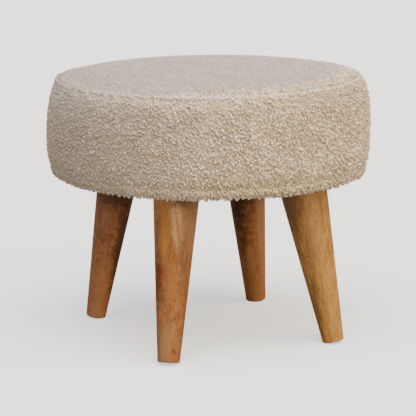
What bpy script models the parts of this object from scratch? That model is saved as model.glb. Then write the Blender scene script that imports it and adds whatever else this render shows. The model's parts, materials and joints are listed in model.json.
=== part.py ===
"""Round upholstered footstool: a filled seat in curly pile cloth on four splayed turned legs.

Metres, +Z up. The origin is on the floor under the middle of the seat, and the front is -Y.
The seat is a crowned pad on a round board. A band of the same cloth goes round the side: it is
sewn to the pad's top panel at the shoulder, is creased over the board's upper edge, and ends in
a hem that is turned under the board. The legs are fixed under the board, inside the hem.
"""

import math
from typing import NamedTuple

import bmesh
import bpy
from mathutils import Vector

# What touches in the real stool lies this far apart here.
GAP = 0.0003

# The seat, as it is dressed.
SEAT_RADIUS = 0.2100
SEAT_UNDERSIDE = 0.2133
RIM_HEIGHT = 0.3417
SEAM_RADIUS = 0.1943
SEAM_HEIGHT = 0.3386
COLUMNS = 72

# The pile cloth of the band, and the hem that it ends in.
CLOTH_THICKNESS = 0.0060
HEM_THICKNESS = 0.0040
HEM_WIDTH = 0.0280

# The board that carries the pad and the legs.
BOARD_RADIUS = 0.2000
BOARD_THICKNESS = 0.0120
BOARD_EDGE_ROUNDING = 0.0010
BOARD_BASE = SEAT_UNDERSIDE + HEM_THICKNESS + GAP
BOARD_TOP = BOARD_BASE + BOARD_THICKNESS

# The legs: the middles of their ends, and the shape of the foot.
LEG_TOP = BOARD_BASE - GAP
LEG_TOP_SPREAD = 0.1284
FOOT_SPREAD = 0.1727
FOOT_CENTRE_HEIGHT = 0.0019
FOOT_ARRIS = 0.0008
LEG_SIDES = 80
LEG_OVERRUN = 0.0200

# The seam is a narrow groove between the top panel's lip and the band's lip.
LIP_DROP = 0.0022
LIP_ROUNDING = 0.0011
SEAM_TUCK = 0.0030

# The stool stands turned, so the slack of its sides is measured across this direction.
SLACK_AZIMUTH = math.radians(-22.8)


class Level(NamedTuple):
    """One level of the band: how far in it lies from the seat's full radius, in millimetres."""

    height: float      # above the seat's underside
    inset: float       # all round
    near_slack: float  # further in, on the side towards SLACK_AZIMUTH
    far_slack: float   # further in, on the side away from it


# From the seam down to the crease over the board's edge, and from there round the lower roll.
SIDE_LEVELS = (
    Level(121.5, 12.3, 0.0, 0.6),
    Level(115.0, 8.4, 0.0, 1.2),
    Level(105.0, 4.8, 0.0, 1.1),
    Level(92.0, 2.2, 0.4, 0.6),
    Level(76.0, 0.8, 0.6, 0.2),
    Level(58.0, 0.4, 0.6, 0.3),
    Level(42.0, 0.6, 0.4, 0.2),
    Level(29.0, 1.6, 0.2, 0.0),
    Level(20.0, 3.0, 0.2, 0.3),
    Level(14.6, 5.4, 0.3, 0.5),
)
ROLL_LEVELS = (
    Level(14.6, 5.4, 0.3, 0.5),
    Level(11.8, 4.2, 0.6, 0.7),
    Level(7.6, 4.2, 0.9, 0.7),
    Level(3.2, 5.7, 0.6, 0.8),
    Level(0.7, 8.4, 0.0, 0.8),
    Level(0.0, 11.8, -0.4, 0.8),
)


class Rise(NamedTuple):
    """One ring of the top panel, in millimetres."""

    radius: float
    height: float  # above the rim


CROWN = (
    Rise(12.0, 6.0),
    Rise(45.0, 5.8),
    Rise(85.0, 4.9),
    Rise(122.0, 3.6),
    Rise(152.0, 2.1),
    Rise(172.0, 0.9),
    Rise(185.0, -0.1),
    Rise(191.0, -1.2),
)


class Swell(NamedTuple):
    """A shallow wave round the band, as packed filling leaves it."""

    lobes: int
    phase: float
    depth: float   # metres, each way
    climb: float   # turns of phase for each metre of height


SWELLS = (
    Swell(5, 0.4, 0.0005, 3.0),
    Swell(9, 2.1, 0.0004, -5.0),
    Swell(14, 4.0, 0.0003, 8.0),
)


class Leg(NamedTuple):
    """One leg, with the small differences that hand fitting leaves."""

    name: str
    top_azimuth: float   # degrees
    foot_azimuth: float  # degrees
    top_radius: float
    foot_radius: float
    colour: tuple        # linear


LEGS = (
    Leg("leg_front_right", -47.6, -47.0, 0.0319, 0.0137, (0.390, 0.205, 0.070)),
    Leg("leg_back_right", 45.7, 45.6, 0.0293, 0.0136, (0.260, 0.105, 0.040)),
    Leg("leg_back_left", 133.0, 131.2, 0.0281, 0.0132, (0.300, 0.125, 0.050)),
    Leg("leg_front_left", 228.9, 229.3, 0.0300, 0.0140, (0.380, 0.165, 0.052)),
)


def clear_scene():
    """Remove the objects that the file opens with."""
    for thing in list(bpy.data.objects):
        bpy.data.objects.remove(thing, do_unlink=True)


def new_collection(name):
    """A collection of this name in the scene."""
    collection = bpy.data.collections.new(name)
    bpy.context.scene.collection.children.link(collection)
    return collection


def new_material(name, colour, roughness):
    """A plain material of one linear colour."""
    material = bpy.data.materials.new(name)
    material.use_nodes = True
    shader = material.node_tree.nodes["Principled BSDF"]
    shader.inputs["Base Color"].default_value = (*colour, 1.0)
    shader.inputs["Roughness"].default_value = roughness
    shader.inputs["Metallic"].default_value = 0.0
    return material


def place(name, mesh, collection, material):
    """Put a mesh in a collection as an object of this name."""
    thing = bpy.data.objects.new(name, mesh)
    mesh.materials.append(material)
    collection.objects.link(thing)
    return thing


def smooth_run(points, spans):
    """Points on a smooth curve through the given ones, with some spans between neighbours."""
    last = len(points) - 1
    run = []
    for index in range(last):
        before, here = points[max(index - 1, 0)], points[index]
        there, after = points[index + 1], points[min(index + 2, last)]
        for span in range(spans):
            share = span / spans
            run.append(
                0.5 * (2.0 * here + (there - before) * share
                       + (2.0 * before - 5.0 * here + 4.0 * there - after) * share ** 2
                       + (3.0 * here - before - 3.0 * there + after) * share ** 3)
            )
    run.append(points[last])
    return run


def slack(level, azimuth):
    """How much further in a level lies at this azimuth, in millimetres."""
    across = math.cos(azimuth - SLACK_AZIMUTH)
    if across > 0.0:
        return level.near_slack * across ** 2
    return level.far_slack * across ** 2


def swell(azimuth, height):
    """How far the band stands out at this place for its shallow waves."""
    return sum(
        wave.depth * math.sin(wave.lobes * azimuth + wave.phase + math.tau * wave.climb * height)
        for wave in SWELLS
    )


def outer_point(level, azimuth):
    """The band's outer face at one level: radius and height, in metres."""
    inset = (level.inset + slack(level, azimuth)) / 1000.0
    radius = SEAT_RADIUS - inset + swell(azimuth, level.height / 1000.0)
    return Vector((radius, SEAT_UNDERSIDE + level.height / 1000.0))


def pad_side():
    """The pad's side under the band, from the seam to the board: radii and heights."""
    points = [
        Vector((SEAM_RADIUS - LIP_ROUNDING, SEAM_HEIGHT - LIP_DROP)),
        Vector((SEAM_RADIUS - SEAM_TUCK, SEAM_HEIGHT - 2.6 * LIP_DROP)),
    ]
    for level in SIDE_LEVELS[1:-1]:
        radius = SEAT_RADIUS - level.inset / 1000.0 - CLOTH_THICKNESS
        points.append(Vector((radius, SEAT_UNDERSIDE + level.height / 1000.0)))
    points.append(Vector((BOARD_RADIUS, BOARD_TOP + GAP)))
    return points


def pad_section():
    """The pad's section, from the top panel's middle to the edge of its base."""
    crown = [Vector((rise.radius, 0.0)) / 1000.0 for rise in CROWN]
    for point, rise in zip(crown, CROWN):
        point.y = RIM_HEIGHT + rise.height / 1000.0
    lip = Vector((SEAM_RADIUS - LIP_ROUNDING / 2.0, SEAM_HEIGHT + LIP_ROUNDING / 3.0))
    return smooth_run(crown + [lip], 2) + pad_side()


def band_section(azimuth):
    """The band's closed section at one azimuth, from its lip, down outside and up inside."""
    lip = [
        Vector((SEAM_RADIUS + GAP, SEAM_HEIGHT - LIP_DROP)),
        Vector((SEAM_RADIUS + LIP_ROUNDING, SEAM_HEIGHT - LIP_ROUNDING / 2.0)),
    ]
    side = smooth_run([outer_point(level, azimuth) for level in SIDE_LEVELS], 2)
    roll = smooth_run([outer_point(level, azimuth) for level in ROLL_LEVELS], 2)
    hem_radius = BOARD_RADIUS - HEM_WIDTH
    hem_top = SEAT_UNDERSIDE + HEM_THICKNESS
    hem = [
        Vector((hem_radius, SEAT_UNDERSIDE)),
        Vector((hem_radius, hem_top)),
        Vector((BOARD_RADIUS + GAP, hem_top)),
    ]
    inside = [point + Vector((GAP * 1.5, 0.0)) for point in reversed(pad_side()[1:])]
    return lip + side + roll[1:] + hem + inside


def turned(section, azimuth):
    """Radii and heights of a section, stood up at this azimuth."""
    return [
        Vector((point.x * math.cos(azimuth), point.x * math.sin(azimuth), point.y))
        for point in section
    ]


def loft(name, sections, closed):
    """A mesh through sections that follow each other all the way round.

    A closed section is a loop, and the mesh is a ring. An open one starts and ends near the
    axis side of the solid, and the two holes that this leaves are capped.
    """
    shape = bmesh.new()
    columns = [[shape.verts.new(point) for point in section] for section in sections]
    for column, following in zip(columns, columns[1:] + columns[:1]):
        rungs = list(zip(column, following))
        steps = zip(rungs, rungs[1:] + rungs[:1]) if closed else zip(rungs, rungs[1:])
        for (here, there), (here_next, there_next) in steps:
            shape.faces.new((here, there, there_next, here_next))
    if not closed:
        middle = shape.faces.new([column[0] for column in columns])
        shape.faces.new([column[-1] for column in columns])
        bmesh.ops.poke(shape, faces=[middle])
    bmesh.ops.recalc_face_normals(shape, faces=shape.faces)
    mesh = bpy.data.meshes.new(name)
    shape.to_mesh(mesh)
    shape.free()
    mesh.shade_smooth()
    mesh.set_sharp_from_angle(angle=math.radians(50.0))
    return mesh


def build_seat_pad(collection, material):
    """The filled pad with its top panel: crowned, and drawn in at the seam."""
    section = pad_section()
    azimuths = [math.tau * column / COLUMNS for column in range(COLUMNS)]
    sections = [turned(section, azimuth) for azimuth in azimuths]
    return place("seat_pad", loft("seat_pad", sections, closed=False), collection, material)


def build_side_band(collection, material):
    """The band of cloth round the side, with its crease, its lower roll and its hem."""
    azimuths = [math.tau * column / COLUMNS for column in range(COLUMNS)]
    sections = [turned(band_section(azimuth), azimuth) for azimuth in azimuths]
    return place("side_band", loft("side_band", sections, closed=True), collection, material)


def build_base_board(collection, material):
    """The round board under the pad, its edges slightly rounded."""
    bpy.ops.mesh.primitive_cylinder_add(
        vertices=COLUMNS, radius=BOARD_RADIUS, depth=BOARD_THICKNESS,
        location=(0.0, 0.0, (BOARD_BASE + BOARD_TOP) / 2.0),
    )
    board = bpy.context.object
    board.name = board.data.name = "base_board"
    board.data.materials.append(material)
    for owner in board.users_collection:
        owner.objects.unlink(board)
    collection.objects.link(board)
    rounding = board.modifiers.new("rounded_edges", "BEVEL")
    rounding.width = BOARD_EDGE_ROUNDING
    rounding.segments = 1
    rounding.limit_method = "ANGLE"
    return board


def slab_cutter(name, low, high, collection):
    """A wide box that takes away everything between two heights."""
    bpy.ops.mesh.primitive_cube_add(size=1.0, location=(0.0, 0.0, (low + high) / 2.0))
    cutter = bpy.context.object
    cutter.name = name
    cutter.scale = (2.4 * SEAT_RADIUS, 2.4 * SEAT_RADIUS, high - low)
    cutter.hide_render = True
    cutter.display_type = "WIRE"
    for owner in cutter.users_collection:
        owner.objects.unlink(cutter)
    collection.objects.link(cutter)
    return cutter


def round_from_axis(spread, azimuth, height):
    """A point at this distance from the stool's axis; the azimuth is in degrees."""
    angle = math.radians(azimuth)
    return Vector((spread * math.cos(angle), spread * math.sin(angle), height))


def build_leg(leg, collection, cutters):
    """A turned taper, cut level under the board and shaved level where it meets the floor."""
    foot = round_from_axis(FOOT_SPREAD, leg.foot_azimuth, FOOT_CENTRE_HEIGHT)
    top = round_from_axis(LEG_TOP_SPREAD, leg.top_azimuth, LEG_TOP)
    axis = top - foot
    taper = (leg.top_radius - leg.foot_radius) / axis.length
    blank = axis.length + LEG_OVERRUN
    profile = (
        (0.0, blank),
        (leg.foot_radius + taper * blank, blank),
        (leg.foot_radius + taper * FOOT_ARRIS, FOOT_ARRIS),
        (leg.foot_radius - FOOT_ARRIS, 0.0),
        (0.0, 0.0),
    )
    mesh = bpy.data.meshes.new(leg.name)
    edges = [(index, index + 1) for index in range(len(profile) - 1)]
    mesh.from_pydata([(radius, 0.0, height) for radius, height in profile], edges, [])
    material = new_material(leg.name.replace("leg", "wood"), leg.colour, 0.45)
    thing = place(leg.name, mesh, collection, material)
    thing.location = foot
    thing.rotation_euler = axis.to_track_quat("Z", "Y").to_euler()
    turning = thing.modifiers.new("turning", "SCREW")
    turning.steps = turning.render_steps = LEG_SIDES
    turning.use_merge_vertices = True
    turning.merge_threshold = 0.00001
    for cutter in cutters:
        cut = thing.modifiers.new(cutter.name, "BOOLEAN")
        cut.operation = "DIFFERENCE"
        cut.object = cutter
    return thing


def main():
    """Build the stool."""
    clear_scene()
    parts = new_collection("footstool")
    cutting = new_collection("cutters")
    pile_cloth = new_material("pile_cloth", (0.610, 0.530, 0.430), 0.95)
    plain_board = new_material("plain_board", (0.420, 0.290, 0.170), 0.70)

    build_seat_pad(parts, pile_cloth)
    build_side_band(parts, pile_cloth)
    build_base_board(parts, plain_board)
    cutters = (
        slab_cutter("above_the_legs", LEG_TOP, LEG_TOP + 0.1, cutting),
        slab_cutter("under_the_floor", -0.1, 0.0, cutting),
    )
    for leg in LEGS:
        build_leg(leg, parts, cutters)


main()
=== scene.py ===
"""The round footstool, dressed: curly pile cloth on the seat, oiled hardwood on the legs.

Metres, +Z up, the front of the stool towards -Y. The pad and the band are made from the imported
solids, the pile stands on them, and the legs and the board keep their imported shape.
"""

import json
import logging
import math
from dataclasses import dataclass
from enum import Enum
from typing import Any, ClassVar, Optional, Sequence, Union

import bmesh
import bpy
import numpy as np
from mathutils import Matrix, Vector
from mathutils.bvhtree import BVHTree
from mathutils.kdtree import KDTree

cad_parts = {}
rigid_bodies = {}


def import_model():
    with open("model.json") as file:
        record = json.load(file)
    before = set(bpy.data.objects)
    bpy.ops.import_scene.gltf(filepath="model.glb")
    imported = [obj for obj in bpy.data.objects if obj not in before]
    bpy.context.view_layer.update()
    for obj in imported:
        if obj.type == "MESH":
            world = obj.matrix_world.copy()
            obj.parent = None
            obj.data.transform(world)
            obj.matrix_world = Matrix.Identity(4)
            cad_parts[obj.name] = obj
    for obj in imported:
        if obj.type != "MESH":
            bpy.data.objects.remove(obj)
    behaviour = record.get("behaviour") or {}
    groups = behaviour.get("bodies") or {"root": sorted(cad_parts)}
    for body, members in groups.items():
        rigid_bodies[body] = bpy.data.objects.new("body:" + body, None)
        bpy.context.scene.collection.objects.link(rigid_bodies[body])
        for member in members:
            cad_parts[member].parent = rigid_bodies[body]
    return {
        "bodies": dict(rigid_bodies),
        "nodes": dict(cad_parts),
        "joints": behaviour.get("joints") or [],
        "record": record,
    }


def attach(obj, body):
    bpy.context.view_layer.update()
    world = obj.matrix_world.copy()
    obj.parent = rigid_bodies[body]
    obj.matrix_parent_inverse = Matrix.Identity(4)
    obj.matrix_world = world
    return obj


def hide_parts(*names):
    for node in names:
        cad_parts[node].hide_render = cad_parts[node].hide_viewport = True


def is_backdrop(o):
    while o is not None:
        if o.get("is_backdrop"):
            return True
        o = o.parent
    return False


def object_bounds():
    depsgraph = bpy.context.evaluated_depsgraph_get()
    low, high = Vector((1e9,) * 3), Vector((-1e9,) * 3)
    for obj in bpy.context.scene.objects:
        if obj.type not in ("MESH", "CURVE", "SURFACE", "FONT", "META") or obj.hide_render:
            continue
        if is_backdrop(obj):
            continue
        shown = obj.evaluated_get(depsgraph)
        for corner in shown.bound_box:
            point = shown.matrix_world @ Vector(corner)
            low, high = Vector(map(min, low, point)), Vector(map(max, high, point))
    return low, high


LOG = logging.getLogger("footstool")
MM = 0.001

# The stool is looked at, and its legs' colours are laid out, from this side.
FRONT_AZIMUTH = math.radians(-22.83)
ACROSS = Vector((math.cos(FRONT_AZIMUTH), math.sin(FRONT_AZIMUTH), 0.0))

Colour = tuple[float, float, float, float]
Number = Union[int, float, "Signal"]
Table = tuple[tuple[float, float], ...]     # a place, and the value there
Hit = tuple[Optional[Vector], Optional[Vector], Optional[int], Optional[float]]


class Slot(str, Enum):
    """The record's name for the cloth's material slot, which nothing here uses."""

    CLOTH = "pile_cloth"


def colour(red: float, green: float, blue: float) -> Colour:
    """Returns: a linear colour with full alpha."""
    return (red, green, blue, 1.0)


class Lay(Enum):
    """How the pile lies on a stretch of the cloth."""

    PRESSED = "pressed"
    MARGIN = "margin"
    SEAM = "seam"
    FALLEN = "fallen"
    FRINGE = "fringe"
    TUCKED = "tucked"


# ---------------------------------------------------------------------------------------------
# Materials
# ---------------------------------------------------------------------------------------------


class Signal:
    """A shader socket that takes part in arithmetic: an operator adds its Math node."""

    def __init__(self, recipe: "Recipe", socket: bpy.types.NodeSocket) -> None:
        """Wraps one output socket of a material."""
        self.recipe = recipe
        self.socket = socket

    def maths(self, operation: str, *values: Number) -> "Signal":
        """Returns: what a Math node makes of some values."""
        inputs = dict(enumerate(values))
        return self.recipe.node("ShaderNodeMath", {"operation": operation}, inputs)

    def __add__(self, other: Number) -> "Signal":
        """Sum."""
        return self.maths("ADD", self, other)

    def __radd__(self, other: Number) -> "Signal":
        """Sum, from the right."""
        return self.maths("ADD", other, self)

    def __sub__(self, other: Number) -> "Signal":
        """Difference."""
        return self.maths("SUBTRACT", self, other)

    def __rsub__(self, other: Number) -> "Signal":
        """Difference, from the right."""
        return self.maths("SUBTRACT", other, self)

    def __mul__(self, other: Number) -> "Signal":
        """Product."""
        return self.maths("MULTIPLY", self, other)

    def __rmul__(self, other: Number) -> "Signal":
        """Product, from the right."""
        return self.maths("MULTIPLY", other, self)

    def __truediv__(self, other: Number) -> "Signal":
        """Quotient."""
        return self.maths("DIVIDE", self, other)

    def __pow__(self, other: Number) -> "Signal":
        """Power."""
        return self.maths("POWER", self, other)

    def ramp(self, low: float, high: float) -> "Signal":
        """A smooth step.

        Args:
            low: the value at which the step is 0.
            high: the value at which it is 1, which may be the smaller of the two.

        Returns:
            The step, within 0 and 1.
        """
        ends = (low, high, 0.0, 1.0) if low < high else (high, low, 1.0, 0.0)
        settings = {"interpolation_type": "SMOOTHSTEP"}
        inputs: dict[Any, Any] = {0: self, 1: ends[0], 2: ends[1], 3: ends[2], 4: ends[3]}
        return self.recipe.node("ShaderNodeMapRange", settings, inputs)


class Recipe:
    """One material and its nodes."""

    def __init__(self, name: str) -> None:
        """Makes an empty material.

        Args:
            name: the material's name.
        """
        self.material = bpy.data.materials.new(name)
        self.material.use_nodes = True
        self.tree = self.material.node_tree
        self.tree.nodes.clear()

    def node(
        self,
        kind: str,
        settings: Optional[dict[str, Any]] = None,
        inputs: Optional[dict[Any, Any]] = None,
        output: Union[int, str, None] = 0,
    ) -> Signal:
        """Adds a node.

        Args:
            kind: the node's type.
            settings: its settings, set first.
            inputs: values or signals for its sockets, by name or number.
            output: the output that is wanted, or None for the node that has none.

        Returns:
            That output.
        """
        made = self.tree.nodes.new(kind)
        for key, value in (settings or {}).items():
            setattr(made, key, value)
        for key, value in (inputs or {}).items():
            if isinstance(value, Signal):
                self.tree.links.new(value.socket, made.inputs[key])
            else:
                made.inputs[key].default_value = value
        return Signal(self, None if output is None else made.outputs[output])

    def mix(self, share: Number, first: Any, second: Any) -> Signal:
        """Returns: two colours mixed, with that share of the second."""
        inputs = {0: share, 6: first, 7: second}
        return self.node("ShaderNodeMix", {"data_type": "RGBA"}, inputs, 2)

    def scaled(self, tint: Signal, by: Number) -> Signal:
        """Returns: a colour made lighter or darker by a factor."""
        inputs = {"Vector": tint, "Scale": by}
        return self.node("ShaderNodeVectorMath", {"operation": "SCALE"}, inputs)

    def noise(
        self, place: Signal, scale: float, detail: float = 2.0, rough: float = 0.5,
        distortion: float = 0.0,
    ) -> Signal:
        """Returns: a noise in 3-D about 0.5, with its scale for each metre and its octaves."""
        inputs = {
            "Vector": place, "Scale": scale, "Detail": detail, "Roughness": rough,
            "Distortion": distortion,
        }
        return self.node("ShaderNodeTexNoise", {}, inputs, "Fac")

    def bump(self, height: Signal, distance: float, strength: float = 1.0) -> Signal:
        """Returns: the normal that a height from 0 to 1 gives, over that many metres."""
        inputs = {"Height": height, "Distance": distance, "Strength": strength}
        return self.node("ShaderNodeBump", {}, inputs)

    def finish(self, inputs: dict[str, Any]) -> bpy.types.Material:
        """Returns: the material, with a Principled shader that has these inputs."""
        self.output(self.node("ShaderNodeBsdfPrincipled", {}, inputs))
        return self.material

    def output(self, shader: Signal) -> None:
        """Joins a shader to the material's output."""
        self.node("ShaderNodeOutputMaterial", {}, {"Surface": shader}, None)


@dataclass(frozen=True)
class PileCloth:
    """Cream cloth with a short curly pile: light at the tips, olive beige down in the gaps, partly
    its own deeper colour and partly painted shade.
    """

    tip: Colour = colour(0.785, 0.66, 0.50)
    # partly the cloth's own deeper colour, partly painted shade down in the pile's gaps
    root: Colour = colour(0.53, 0.405, 0.255)
    # pale colour of the lightest curls: random pale specks, and a painted highlight where painted
    # light raises the tone
    fleck_and_highlight: Colour = colour(0.92, 0.82, 0.70)
    # painted cool light from above and from the room, greying the panel and the upper left
    cool_light: Colour = colour(0.575, 0.505, 0.485)
    # painted shadow in the seam's groove, where its dashes show
    seam: Colour = colour(0.20, 0.14, 0.085)
    sheen: float = 0.10

    def material(self) -> bpy.types.Material:
        """Makes the cloth's material, which reads the pile's own attributes.

        Returns:
            The material.
        """
        make = Recipe("pile_cloth")
        place = make.node("ShaderNodeTexCoord", {}, {}, "Object")
        along, tone, ground, cool_light, seam = [
            make.node("ShaderNodeAttribute", {"attribute_name": name}, {}, "Fac")
            for name in ("along", "tone", "ground", "cool_light", "seam")
        ]
        broad = make.noise(place, 16.0, 3.0)
        fibres = make.noise(place, 620.0, 2.0, 0.6)
        along = along + ground * make.noise(place, 360.0, 2.0).ramp(0.40, 0.62) * 0.45
        # darker towards the curls' roots: painted shade down in the gaps, over the cloth's own
        # deeper colour
        shade = make.mix(along.ramp(0.0, 0.70), self.root, self.tip)
        # pale specks, and a painted highlight where painted light raises the tone
        shade = make.mix((tone - 0.60).ramp(0.0, 0.34) * 0.7, shade, self.fleck_and_highlight)
        # painted cool light greys the panel and the upper left
        shade = make.mix(cool_light * 0.85, shade, self.cool_light)
        # painted shadow in the seam's groove
        shade = make.mix(seam, shade, self.seam)
        # the tone carries painted light and shade as well as each curl's own tone
        light = 0.745 + tone * 0.32 + broad * 0.14 + fibres * 0.08
        normal = make.bump(fibres, 0.5 * MM, 0.25)
        return make.finish({
            "Base Color": make.scaled(shade, light),
            "Roughness": 0.92,
            "Specular IOR Level": 0.25,
            "Sheen Weight": self.sheen,
            "Sheen Roughness": 0.5,
            "Normal": normal,
        })


@dataclass(frozen=True)
class Patch:
    """A place on a leg where its colour changes, in millimetres on the leg's own axes: mostly the
    wood's own colour, some of them painted shade and painted highlights.
    """

    across: float
    up: float
    half_width: float
    half_height: float
    colour: Colour
    strength: float = 0.8
    slant: float = 0.0


@dataclass(frozen=True)
class Wood:
    """One leg's oiled hardwood: short mottled grain in two tones, fine pores and patches, with
    painted light and shade towards the top and on some patches.
    """

    name: str
    light: Colour
    dark: Colour
    pore: Colour
    shade: Colour                 # towards the top: painted shadow of the seat, on the front left leg painted light that makes up for it
    patches: tuple[Patch, ...] = ()
    across_grain: float = 1.7     # how much closer the mottling is up the leg than round it
    # how much of the painted top shade is laid on
    seat_shading: float = 0.6
    streaky: float = 0.75         # how much of the grain is drawn out along the leg
    gloss: float = 0.50
    seat_shading_rise: tuple[float, float] = (0.135, 0.215)     # how far up the painted shade starts, is full
    foot_wear: float = 0.0035                            # the dark rim of the foot is this high

    def material(self, origin: Vector, axis: Vector) -> bpy.types.Material:
        """Makes the finish for a leg.

        Args:
            origin: the middle of the leg's foot.
            axis: the leg's direction, from foot to top.

        Returns:
            The material.
        """
        make = Recipe(self.name)
        place = self._on_leg(make, origin, axis)
        parts = [
            make.node("ShaderNodeSeparateXYZ", {}, {0: place}, name) for name in ("X", "Y", "Z")
        ]
        fibre = self._stretched(make, place, 0.13)
        streak = make.noise(fibre, 330.0, 4.0, 0.65, 0.4)
        pores = make.noise(self._stretched(make, place, 0.20), 1000.0, 2.0, 0.5)
        mottle = make.noise(self._stretched(make, place, self.across_grain), 62.0, 4.0, 0.62, 0.7)
        flecks = make.noise(place, 560.0, 2.0, 0.6)
        open_grain = make.noise(place, 45.0, 2.0).ramp(0.42, 0.62)
        grain = (streak - 0.5) * self.streaky + (mottle - 0.5) + (flecks - 0.5) * 0.35
        blend = grain.ramp(-0.28, 0.28)
        tint = make.mix(blend, self.dark, self.light)
        # painted shadow of the seat towards the top of the leg
        seat_shading = parts[2] + (mottle - 0.5) * 0.05
        tint = make.mix(seat_shading.ramp(*self.seat_shading_rise) * self.seat_shading, tint, self.shade)
        for patch in self.patches:
            tint = self._patched(make, tint, parts, mottle, flecks, patch)
        marks = pores.ramp(0.46, 0.30) * (0.35 + open_grain * 0.5)
        tint = make.mix(marks, tint, self.pore)
        tint = make.mix(parts[2].ramp(self.foot_wear, 0.0) * 0.6, tint, self.pore)
        light = 0.66 + flecks * 0.36 + streak * 0.34
        height = pores * 0.6 + streak * 0.4
        return make.finish({
            "Base Color": make.scaled(tint, light),
            "Roughness": self.gloss + (1.0 - blend) * 0.10 + pores * 0.14,
            "Specular IOR Level": 0.28,
            "Normal": make.bump(height, 0.15 * MM, 0.7),
        })

    @staticmethod
    def _stretched(make: Recipe, place: Signal, up: float) -> Signal:
        """The leg's own place with its height scaled, to draw a pattern out along the grain."""
        inputs = {0: place, 1: (1.0, 1.0, up)}
        return make.node("ShaderNodeVectorMath", {"operation": "MULTIPLY"}, inputs)

    @staticmethod
    def _on_leg(make: Recipe, origin: Vector, axis: Vector) -> Signal:
        """Moves object coordinates on to the leg.

        Args:
            make: the material.
            origin: the middle of the leg's foot.
            axis: the leg's direction, from foot to top.

        Returns:
            The place across the leg, away from the front, and up it.
        """
        across = (ACROSS - axis * ACROSS.dot(axis)).normalized()
        turn = Matrix((across, axis.cross(across), axis))
        inputs = {
            "Vector": make.node("ShaderNodeTexCoord", {}, {}, "Object"),
            "Location": -(turn @ origin),
            "Rotation": turn.to_euler("XYZ"),
        }
        return make.node("ShaderNodeMapping", {"vector_type": "POINT"}, inputs)

    @staticmethod
    def _patched(
        make: Recipe, tint: Signal, parts: Sequence[Signal], mottle: Signal,
        flecks: Signal, patch: Patch,
    ) -> Signal:
        """Lays one patch over the colour, on the front of the leg, with a ragged soft edge.

        Args:
            make: the material.
            tint: the wood's colour so far.
            parts: the place on the leg: across it, away from the front, and up it.
            mottle: the coarse noise that the edge follows.
            flecks: the fine noise that it follows.
            patch: the patch.

        Returns:
            The colour with the patch on it.
        """
        rise = parts[2] - patch.up * MM
        side = parts[0] - patch.across * MM - rise * patch.slant
        far = (side / (patch.half_width * MM)) ** 2.0 + (rise / (patch.half_height * MM)) ** 2.0
        ragged = far ** 0.5 + (mottle - 0.5) * 1.3 + (flecks - 0.5) * 0.7
        mask = ragged.ramp(1.35, 0.25) * parts[1].ramp(0.012, -0.004) * patch.strength
        return make.mix(mask, tint, patch.colour)


@dataclass(frozen=True)
class PlainBoard:
    """The bare board under the seat: brown, lightly sanded, with a straight grain."""

    light: Colour = colour(0.36, 0.235, 0.135)
    dark: Colour = colour(0.22, 0.13, 0.07)

    def material(self) -> bpy.types.Material:
        """Makes the board's material.

        Returns:
            The material.
        """
        make = Recipe("plain_board")
        place = make.node("ShaderNodeTexCoord", {}, {}, "Object")
        grain = make.node("ShaderNodeVectorMath", {"operation": "MULTIPLY"},
                          {0: place, 1: (0.07, 1.0, 1.0)})
        broad = make.noise(grain, 32.0, 4.0, 0.55, 0.8)
        fine = make.noise(grain, 620.0, 3.0, 0.6)
        blend = (broad * 1.1 + fine * 0.5).ramp(0.45, 1.1)
        return make.finish({
            "Base Color": make.mix(blend, self.dark, self.light),
            "Roughness": 0.62 + fine * 0.2,
            "Normal": make.bump(fine, 0.15 * MM, 0.7),
        })


# ---------------------------------------------------------------------------------------------
# Set
# ---------------------------------------------------------------------------------------------


@dataclass(frozen=True)
class Lamp:
    """A wide soft lamp, far enough away to light the floor as evenly as the stool."""

    name: str
    azimuth: float    # degrees, round from the front
    elevation: float
    breadth: float    # degrees, as seen from the stool
    power: float
    colour: tuple[float, float, float]


def away(azimuth: float, elevation: float) -> Vector:
    """Returns: the way out from the stool, in radians round from -Y and above the horizon."""
    level = math.cos(elevation)
    return Vector((math.sin(azimuth) * level, -math.cos(azimuth) * level, math.sin(elevation)))


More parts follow.
